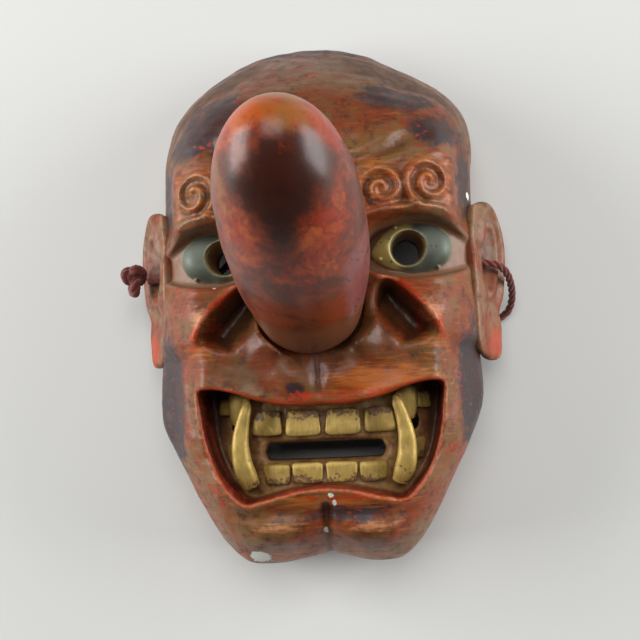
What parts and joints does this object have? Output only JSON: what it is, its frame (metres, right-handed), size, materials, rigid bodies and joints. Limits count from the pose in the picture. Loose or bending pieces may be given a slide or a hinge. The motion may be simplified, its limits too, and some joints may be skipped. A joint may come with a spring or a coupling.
{
  "type": "long-nosed goblin mask",
  "caption": "Carved, lacquered wooden mask of a long-nosed goblin with a plugged-in nose, pegged ears, gilt eyes and teeth and see-through pupils, worn by a cord through the ears.",
  "frame": {"origin": "middle of the mask's bounding box, on the plane its back rim rests on", "axes": "+Z out of the face, +Y to the top of the head, +X to the right of someone looking at the face; left and right in node names are the viewer's, with left towards -X"},
  "size_m": [0.1619, 0.211, 0.1511],
  "materials": {
    "face_lacquer": "worn red lacquer over a white ground on carved wood",
    "nose_lacquer": "glossy dark red lacquer on turned wood",
    "ear_lacquer": "worn brown lacquer on carved wood",
    "bare_wood": "bare planed softwood",
    "gilt_metal": "tarnished gilt sheet",
    "gilt_wood": "worn gold leaf over lacquered wood",
    "bamboo": "bare bamboo",
    "cord": "twisted dark red cord"
  },
  "bodies": {
    "mask": {"face_shell": "face_lacquer", "ear_left": "ear_lacquer", "ear_right": "ear_lacquer", "eye_plate_left": "gilt_metal", "eye_plate_right": "gilt_metal", "upper_incisor_1_left": "gilt_wood", "upper_incisor_1_right": "gilt_wood", "upper_incisor_2_left": "gilt_wood", "upper_incisor_2_right": "gilt_wood", "lower_incisor_1_left": "gilt_wood", "lower_incisor_1_right": "gilt_wood", "lower_incisor_2_left": "gilt_wood", "lower_incisor_2_right": "gilt_wood", "upper_fang_left": "gilt_wood", "upper_fang_right": "gilt_wood", "lower_fang_left": "gilt_wood", "lower_fang_right": "gilt_wood", "upper_molar_left": "gilt_wood", "upper_molar_right": "gilt_wood", "lower_molar_left": "gilt_wood", "lower_molar_right": "gilt_wood", "ear_peg_1_left": "bamboo", "ear_peg_1_right": "bamboo", "ear_peg_2_left": "bamboo", "ear_peg_2_right": "bamboo", "cord": "cord", "cord_stop_knot": "cord", "cord_tie_knot": "cord"},
    "nose": {"nose": "nose_lacquer", "nose_tenon": "bare_wood"}
  },
  "joints": [
    {"name": "nose_pull", "type": "slide", "parent": "mask", "child": "nose", "axis": [0, 0.4067, 0.9135], "range_m": [0, 0.03]}
  ]
}
